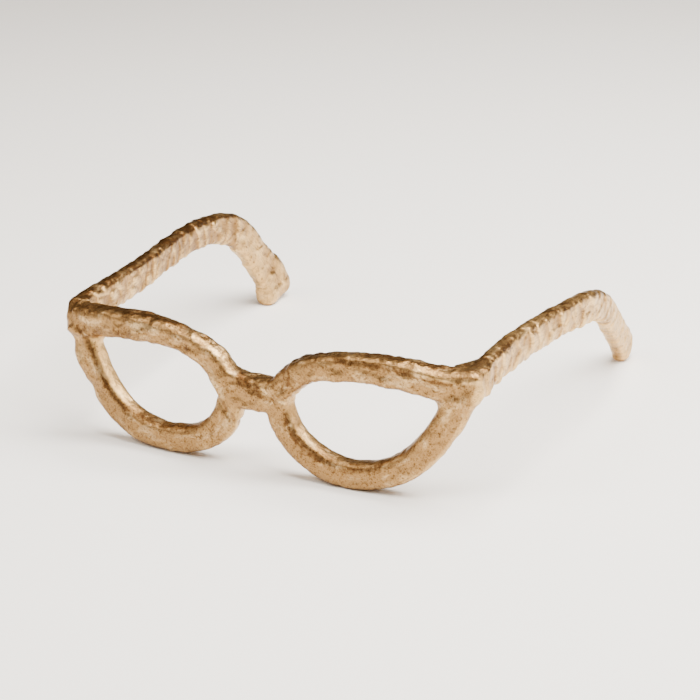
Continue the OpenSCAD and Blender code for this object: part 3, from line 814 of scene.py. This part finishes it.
# Aluminium cast in sand, hammered and filed, gilded with a pale bronze lacquer and rubbed with dark wax:
# bright on what the cloth reached and with painted highlights on the relief, deeper gold as painted shade on
# the front and in hollows, brown in streaks, in the creases and on top with wax, painted shadow and painted
# dark reflections, speckled by the sand's pits. The rubbing says how bright the ridges are, and the shift
# moves the pattern on.
def gilded_casting(name, wax_and_shade_strength, rubbing, shift):
    finish = settings("sculpture_finish")
    mat, tree = new_material(name)
    wax_and_shade, relief_shade_and_tone, deep = (add(tree, "Attribute", attribute_name=key)["Fac"] for key in ("wax_and_shade", "relief_shade_and_tone", "deep"))
    flow, grain = (add(tree, "Attribute", attribute_name=key)["Vector"] for key in ("flow", "grain"))
    sand = add(tree, "Mapping", {"Vector": grain, "Location": (shift, 0, 0)})[0]

    # Clouds and mottling of the rubbed wax, then grime and the sand's grain, each of its size in
    # millimetres. Moulding sand is 0.2 to 0.5 mm across: its grain and pits are drawn coarser, so that they
    # show.
    cloud, mottle, grime, speck = (
        add(tree, "TexNoise", {
            "Vector": where, "Scale": per_mm(size), "Detail": detail, "Roughness": broken})["Fac"]
        for where, size, detail, broken in (
            (flow, 16, 3, 0.55), (flow, 5.6, 6, 0.62), (sand, 2.4, 5, 0.7), (sand, 1.1, 3, 0.65)))
    pits = add(tree, "TexVoronoi", {"Vector": sand, "Scale": per_mm(1.9)})["Distance"]
    pit, patch, uneven, dirty, cloudy, ridge, loaded, stained, rough = (
        add(tree, "MapRange", {
            "Value": source, "From Min": low, "From Max": high,
            "To Min": first, "To Max": last}, clamp=clamp)[0]
        for source, low, high, first, last, clamp in (
            (pits, 0.3, 0.12, 0, 1, True),
            (mottle, 0.46, 0.6, 0, 1, True),
            (mottle, 0.35, 0.65, -0.3, 0.3, False),
            (grime, 0.35, 0.65, -0.32, 0.32, False),
            (cloud, 0.35, 0.65, -0.2, 0.2, False),
            (mottle, 0.52, 0.36, 0, rubbing, True),
            (deep, 0.1, 1.0, 0.4, 1, True),
            (grime, 0.46, 0.62, 0, 0.55, True),
            (speck, 0.3, 0.7, 0.3, 0.42, True)))
    pitted = add(tree, "Math", {0: pit, 1: patch}, operation="MULTIPLY")[0]

    # The wax, painted shadow and painted dark reflections where they were put, less on the painted-light
    # ridges, broken up by the mottling and the grime
    left = add(tree, "Math", {0: relief_shade_and_tone, 1: -0.22, 2: wax_and_shade}, operation="MULTIPLY_ADD")[0]
    broken_up = add(tree, "Math", {0: uneven, 1: dirty}, operation="ADD")[0]
    waxed_and_shaded = add(tree, "Math", {0: left, 1: broken_up}, operation="ADD")[0]
    waxed_and_shaded = add(tree, "MapRange", {"Value": waxed_and_shaded, "From Min": 0.28, "To Max": wax_and_shade_strength})[0]
    # The deeper gold: painted shade in the hollows, on the front and on faces turned from the side light,
    # and in clouds
    shade = add(tree, "Math", {0: relief_shade_and_tone, 1: -0.6, 2: cloudy}, operation="MULTIPLY_ADD")[0]
    shade = add(tree, "Math", {0: shade, 1: deep}, operation="ADD")[0]
    shade = add(tree, "Math", {0: uneven, 1: 0.5, 2: shade}, operation="MULTIPLY_ADD", use_clamp=True)[0]
    # The ridges that were rubbed bright, with painted highlights where the relief rises, the stains and the
    # dark grit in the grain
    bright = add(tree, "Math", {0: relief_shade_and_tone, 1: 0.5, 2: ridge}, operation="MULTIPLY_ADD")[0]
    bright = add(tree, "MapRange", {"Value": bright, "From Min": 0.2, "From Max": 1.3, "To Max": 0.6})[0]
    stained = add(tree, "Math", {0: stained, 1: loaded}, operation="MULTIPLY")[0]
    grit = add(tree, "Math", {0: speck, 1: grime}, operation="ADD")[0]
    grit = add(tree, "MapRange", {"Value": grit, "From Min": 0.98, "From Max": 1.24, "To Max": 0.68})[0]
    grit = add(tree, "Math", {0: grit, 1: loaded}, operation="MULTIPLY")[0]
    filled = add(tree, "Math", {0: pitted, 1: 0.7}, operation="MULTIPLY")[0]
    colour = linear(finish.gold)
    for share, laid_over in (
        (shade, finish.tan), (bright, finish.rubbed_and_highlight), (stained, finish.tan),
        (grit, finish.patina_and_shade), (waxed_and_shaded, finish.patina_and_shade), (filled, finish.patina_and_shade),
    ):
        colour = add(tree, "Mix", {0: share, 6: colour, 7: linear(laid_over)}, data_type="RGBA")[2]
    rough = add(tree, "Math", {0: waxed_and_shaded, 1: 0.06, 2: rough}, operation="MULTIPLY_ADD")[0]

    # Relief: sand grain, grime, soft mottling and pits, each a few tenths of a millimetre deep at most
    relief = {}
    for height, strength, distance, sunk in (
        (speck, 0.6, 0.25 * MM, False), (grime, 0.6, 0.6 * MM, False),
        (mottle, 0.45, 0.8 * MM, False), (pitted, 0.6, 0.3 * MM, True),
    ):
        relief = {"Normal": add(tree, "Bump", {
            "Height": height, "Strength": strength, "Distance": distance, **relief}, invert=sunk)[0]}
    shader = add(tree, "BsdfPrincipled", {
        "Metallic": 1.0, "Base Color": colour, "Roughness": rough, **relief})
    add(tree, "OutputMaterial", {"Surface": shader[0]})
    return mat


def plain_finish(name, base, metallic, grain, rough, bump_strength):
    """A material of one colour, whose fine grain shows in its gloss and relief. The grain is given by its
    width in millimetres, its detail and how broken it is, and drawn coarser than it is, so that it shows."""
    mat, tree = new_material(name)
    coords = add(tree, "TexCoord")["Object"]
    fine = add(tree, "TexNoise", {
        "Vector": coords, "Scale": per_mm(grain[0]), "Detail": grain[1], "Roughness": grain[2]})["Fac"]
    gloss = add(tree, "MapRange", {"Value": fine, "To Min": rough[0], "To Max": rough[1]})[0]
    bump = add(tree, "Bump", {"Height": fine, "Strength": bump_strength, "Distance": 0.05 * MM})[0]
    shader = add(tree, "BsdfPrincipled", {
        "Metallic": metallic, "Base Color": linear(base), "Roughness": gloss, "Normal": bump})
    add(tree, "OutputMaterial", {"Surface": shader[0]})
    return mat


# The materials made so far
MADE = {}


def material(key):
    """Each material is made once"""
    finish = settings("sculpture_finish")
    makers = {
        "front": lambda: gilded_casting("gilded_cast_metal_front", 0.72, 0.85, 0.0),
        "temple": lambda: gilded_casting("gilded_cast_metal_temple", 0.82, 0.9, 0.37),
        # Steel rod, drawn and cut to length: metallic and a little dull
        "steel": lambda: plain_finish("drawn_steel_rod", finish.steel, 1, (0.8, 4, 0.6), (0.28, 0.48), 0.2),
        # Natural rubber sheet, die-cut: matt, with a fine moulded grain
        "rubber": lambda: plain_finish("die_cut_rubber", finish.rubber, 0, (0.6, 3, 0.5), (0.7, 0.9), 0.3),
    }
    if key not in MADE:
        MADE[key] = makers[key]()
    return MADE[key]


# The operators
class SCULPTURE_OT_brow_bars(bpy.types.Operator):
    """The bars along the top of both rings"""

    bl_idname = "sculpture.brow_bars"
    bl_label = "Brow bars"

    def execute(self, context):
        finish_castings(["brow_" + side for side in SIDES], "front")
        return {"FINISHED"}


class SCULPTURE_OT_lower_rims(bpy.types.Operator):
    """The bars round the bottom of both rings"""

    bl_idname = "sculpture.lower_rims"
    bl_label = "Lower rims"

    def execute(self, context):
        finish_castings(["lower_rim_" + side for side in SIDES], "front")
        return {"FINISHED"}


class SCULPTURE_OT_bridge(bpy.types.Operator):
    """The bridge over the nose with its two forks"""

    bl_idname = "sculpture.bridge"
    bl_label = "Bridge"

    def execute(self, context):
        finish_castings(["bridge"], "front")
        return {"FINISHED"}


class SCULPTURE_OT_temples(bpy.types.Operator):
    """The two temples, curved down to the table"""

    bl_idname = "sculpture.temples"
    bl_label = "Temples"

    def execute(self, context):
        finish_castings(["temple_" + side for side in SIDES], "temple")
        return {"FINISHED"}


class SCULPTURE_OT_welds(bpy.types.Operator):
    """The dressed welds between the castings"""

    bl_idname = "sculpture.welds"
    bl_label = "Welds"

    def execute(self, context):
        for name, weld in skin_parts()["welds"].items():
            kind, side = name.split("_")
            key = "temple" if kind == "temple" else "front"
            finish_part(weld, f"{kind}_weld_{side}", key)
        return {"FINISHED"}


class SCULPTURE_OT_dowels(bpy.types.Operator):
    """The steel dowels inside the joints, which keep their drawn shape"""

    bl_idname = "sculpture.dowels"
    bl_label = "Dowels"

    def execute(self, context):
        for name, node in frame["nodes"].items():
            if "dowel" in name:
                for entry in node.material_slots:
                    entry.link = "OBJECT"
                    entry.material = material("steel")
        return {"FINISHED"}


class SCULPTURE_OT_pads(bpy.types.Operator):
    """The pads under the rims and the temple tips"""

    bl_idname = "sculpture.pads"
    bl_label = "Pads"

    def execute(self, context):
        for kind in ("rim", "tip"):
            for side in SIDES:
                node = f"{kind}_pad_{side}"
                low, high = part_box(node)
                bpy.ops.object.select_all(action="DESELECT")
                bpy.ops.mesh.primitive_cylinder_add(
                    vertices=48, radius=(high.x - low.x) / 2, depth=high.z - low.z,
                    location=(low + high) / 2)
                bpy.ops.object.transform_apply(location=True, rotation=True, scale=True)
                pad = bpy.context.object
                modify(pad, "BEVEL", width=0.2 * MM, segments=3, limit_method="ANGLE")
                pick(pad)
                bpy.ops.object.shade_smooth_by_angle(angle=math.radians(30))
                hand_over(pad, node, "rubber")
        return {"FINISHED"}


# The camera as it was fitted to the photograph: how far to the right and how high it stands, in degrees, how
# far off, and what it looks at, in millimetres from the middle of the bridge's depth
CAMERA_ROUND, CAMERA_RISE, CAMERA_OFF = 26.895, 21.670, 1483.9
CAMERA_AIM = (0, 90, 30)
# The photograph's width, its focal length and where its axis meets it, in pixels
PHOTO, FOCAL, AXIS_X, AXIS_Y = 700, 2242.8, 324.39, 374.16
SENSOR = 36


def lay_floor(stage):
    bpy.ops.object.select_all(action="DESELECT")
    bpy.ops.mesh.primitive_circle_add(vertices=128, radius=1.7, fill_type="NGON", location=(0, 0, 0))
    floor = bpy.context.object
    floor.name = "floor"
    # A white table top: matt and nearly even, so that it shows only a soft shadow
    mat, tree = new_material("white_table_top")
    coords = add(tree, "TexCoord")["Object"]
    fine = add(tree, "TexNoise", {"Vector": coords, "Scale": per_mm(400)})["Fac"]
    rough = add(tree, "MapRange", {"Value": fine, "To Min": 0.85, "To Max": 0.95})[0]
    shader = add(tree, "BsdfPrincipled", {
        "Base Color": linear(stage.floor), "Roughness": rough, "Specular IOR Level": 0.1})
    add(tree, "OutputMaterial", {"Surface": shader[0]})
    floor.data.materials.append(mat)


def hang_lights(stage):
    for name, place, aim, size, power, tint in (
        ("top_soft_box", (0.6, 0.1, 1.5), (0.1, 0.0, 0), 1.6, stage.top_light, "FFFBF4"),
        ("front_soft_box", (-0.8, -1.2, 1.35), (0, 0, 0.05), 1.0, stage.front_light, "FFF8EE"),
        ("side_soft_box", (1.9, 0.5, 0.7), (0, 0, 0.05), 1.0, stage.side_light, "FFF6EA"),
    ):
        aim_by = (Vector(aim) - Vector(place)).to_track_quat("-Z", "Y")
        bpy.ops.object.select_all(action="DESELECT")
        bpy.ops.object.light_add(type="AREA", location=place, rotation=aim_by.to_euler())
        lamp = bpy.context.object
        lamp.name = name
        lamp.data.size = size
        lamp.data.energy = power
        lamp.data.color = linear(tint)[:3]


def paint_room(stage):
    """A warm, dim room for the metal to reflect, seen by the camera as a pale wall"""
    world = bpy.data.worlds.new("room")
    bpy.context.scene.world = world
    world.use_nodes = True
    tree = world.node_tree
    tree.nodes.clear()
    seen = add(tree, "LightPath")["Is Camera Ray"]
    dim = add(tree, "Background", {"Color": linear("E0A868"), "Strength": stage.room})[0]
    pale = add(tree, "Background", {"Color": linear("F6F5F3"), "Strength": 2.3})[0]
    both = add(tree, "MixShader", {0: seen, 1: dim, 2: pale})[0]
    add(tree, "OutputWorld", {"Surface": both})


def set_camera():
    """The camera stands where the photograph was taken from: right of the middle and above the table"""
    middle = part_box("bridge")[1].y / MM - BRIDGE_HALF_DEPTH
    target = Vector((CAMERA_AIM[0], CAMERA_AIM[1] + middle, CAMERA_AIM[2])) * MM
    turn, rise = math.radians(CAMERA_ROUND), math.radians(CAMERA_RISE)
    back = Vector((math.sin(turn) * math.cos(rise), -math.cos(turn) * math.cos(rise), math.sin(rise)))
    right = Vector((math.cos(turn), math.sin(turn), 0))
    axes = Matrix((right, back.cross(right), back)).transposed()
    bpy.ops.object.select_all(action="DESELECT")
    bpy.ops.object.camera_add()
    camera = bpy.context.object
    camera.name = "camera"
    camera.matrix_world = Matrix.Translation(target + back * CAMERA_OFF * MM) @ axes.to_4x4()
    camera.data.sensor_width = SENSOR
    camera.data.lens = FOCAL / PHOTO * SENSOR
    camera.data.shift_x = (PHOTO / 2 - AXIS_X) / PHOTO
    camera.data.shift_y = (AXIS_Y - PHOTO / 2) / PHOTO
    camera.data.clip_start, camera.data.clip_end = 0.05, 40
    bpy.context.scene.camera = camera


class SCULPTURE_OT_stage(bpy.types.Operator):
    """The floor, the soft boxes, the room and the camera"""

    bl_idname = "sculpture.stage"
    bl_label = "Stage"

    def execute(self, context):
        stage = settings("sculpture_stage")
        lay_floor(stage)
        hang_lights(stage)
        paint_room(stage)
        set_camera()
        return {"FINISHED"}


STEPS = (
    SCULPTURE_OT_brow_bars, SCULPTURE_OT_lower_rims, SCULPTURE_OT_bridge, SCULPTURE_OT_temples,
    SCULPTURE_OT_welds, SCULPTURE_OT_dowels, SCULPTURE_OT_pads, SCULPTURE_OT_stage,
)


class SCULPTURE_PT_panel(bpy.types.Panel):
    """Lists the steps and the settings"""

    bl_label = "Eyeglasses sculpture"
    bl_idname = "SCULPTURE_PT_panel"
    bl_space_type = "VIEW_3D"
    bl_region_type = "UI"
    bl_category = "Sculpture"

    def draw(self, context):
        layout = self.layout
        for group in ("sculpture_casting", "sculpture_finish", "sculpture_stage"):
            values = settings(group)
            column = layout.column(align=True)
            for key in values.bl_rna.properties.keys():
                if key not in ("rna_type", "name"):
                    column.prop(values, key)
        for step in STEPS:
            layout.operator(step.bl_idname)


GROUPS = {
    "sculpture_casting": CastingSettings,
    "sculpture_finish": FinishSettings,
    "sculpture_stage": StageSettings,
}


def register():
    for cls in (*GROUPS.values(), *STEPS, SCULPTURE_PT_panel):
        bpy.utils.register_class(cls)
    for name, cls in GROUPS.items():
        setattr(bpy.types.Scene, name, bpy.props.PointerProperty(type=cls))


def unregister():
    for name in GROUPS:
        delattr(bpy.types.Scene, name)
    for cls in reversed((*GROUPS.values(), *STEPS, SCULPTURE_PT_panel)):
        bpy.utils.unregister_class(cls)


def clear_scratch():
    for o in list(bpy.data.objects):
        if o.name.startswith("scratch_"):
            bpy.data.objects.remove(o)


def main():
    register()
    bpy.ops.sculpture.brow_bars()
    bpy.ops.sculpture.lower_rims()
    bpy.ops.sculpture.bridge()
    bpy.ops.sculpture.temples()
    bpy.ops.sculpture.welds()
    bpy.ops.sculpture.dowels()
    bpy.ops.sculpture.pads()
    clear_scratch()
    bpy.ops.sculpture.stage()


if __name__ == "__main__":
    main()
